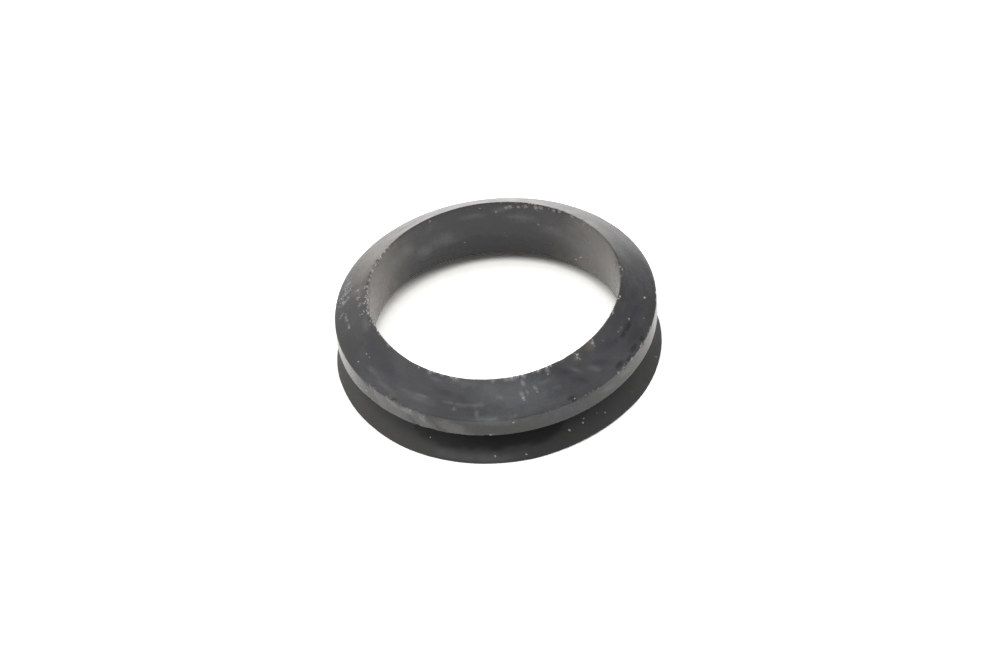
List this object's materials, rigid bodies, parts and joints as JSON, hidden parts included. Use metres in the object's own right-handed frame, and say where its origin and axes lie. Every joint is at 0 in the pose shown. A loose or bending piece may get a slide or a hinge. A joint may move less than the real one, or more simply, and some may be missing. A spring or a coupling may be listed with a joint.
{
  "type": "v-ring seal",
  "caption": "Moulded black rubber V-ring seal with a tapered back, a straight outer land, a V-groove and a thin flexible conical sealing lip.",
  "frame": {"origin": "on the bore's axis, in the plane of the lip's wiping edge", "axes": "+Z along the bore from the lip to the tapered back; X and Y are alike on this ring"},
  "size_m": [0.0468, 0.0468, 0.012],
  "materials": {
    "rubber": "satin moulded black rubber with a dusty bloom"
  },
  "bodies": {
    "root": {"v_ring": "rubber"}
  },
  "joints": []
}
